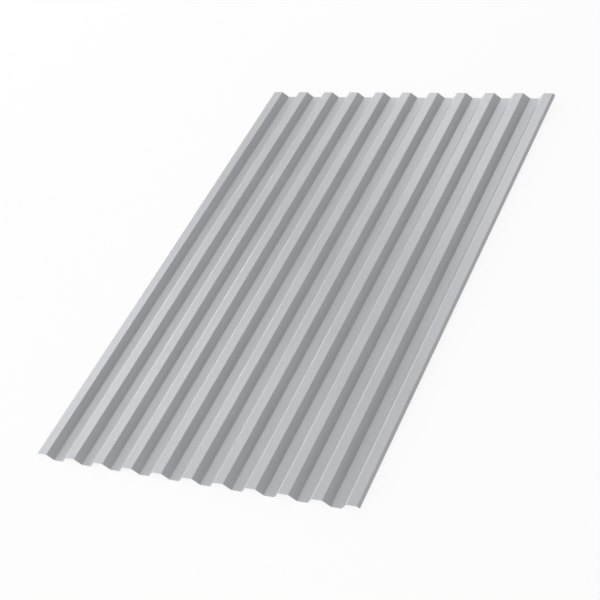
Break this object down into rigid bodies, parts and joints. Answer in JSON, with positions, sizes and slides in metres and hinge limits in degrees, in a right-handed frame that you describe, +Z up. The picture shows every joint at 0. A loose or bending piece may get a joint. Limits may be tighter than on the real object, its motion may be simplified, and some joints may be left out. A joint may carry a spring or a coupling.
{
  "type": "corrugated metal sheet",
  "caption": "Flat-lying roofing sheet of thin coated steel, roll-formed into straight flat-topped trapezoidal ribs with flat pans between and a short leg down each long edge.",
  "frame": {"origin": "under the middle of the sheet, at the underside of the pans, which is the bottom centre of its box", "axes": "+X across the ribs, +Y along the ribs, +Z up out of the sheet, the side the ribs stand on"},
  "size_m": [1.0444, 1.657, 0.0215],
  "materials": {
    "sheet_coating": "satin"
  },
  "bodies": {
    "root": {"profiled_sheet": "sheet_coating"}
  },
  "joints": []
}
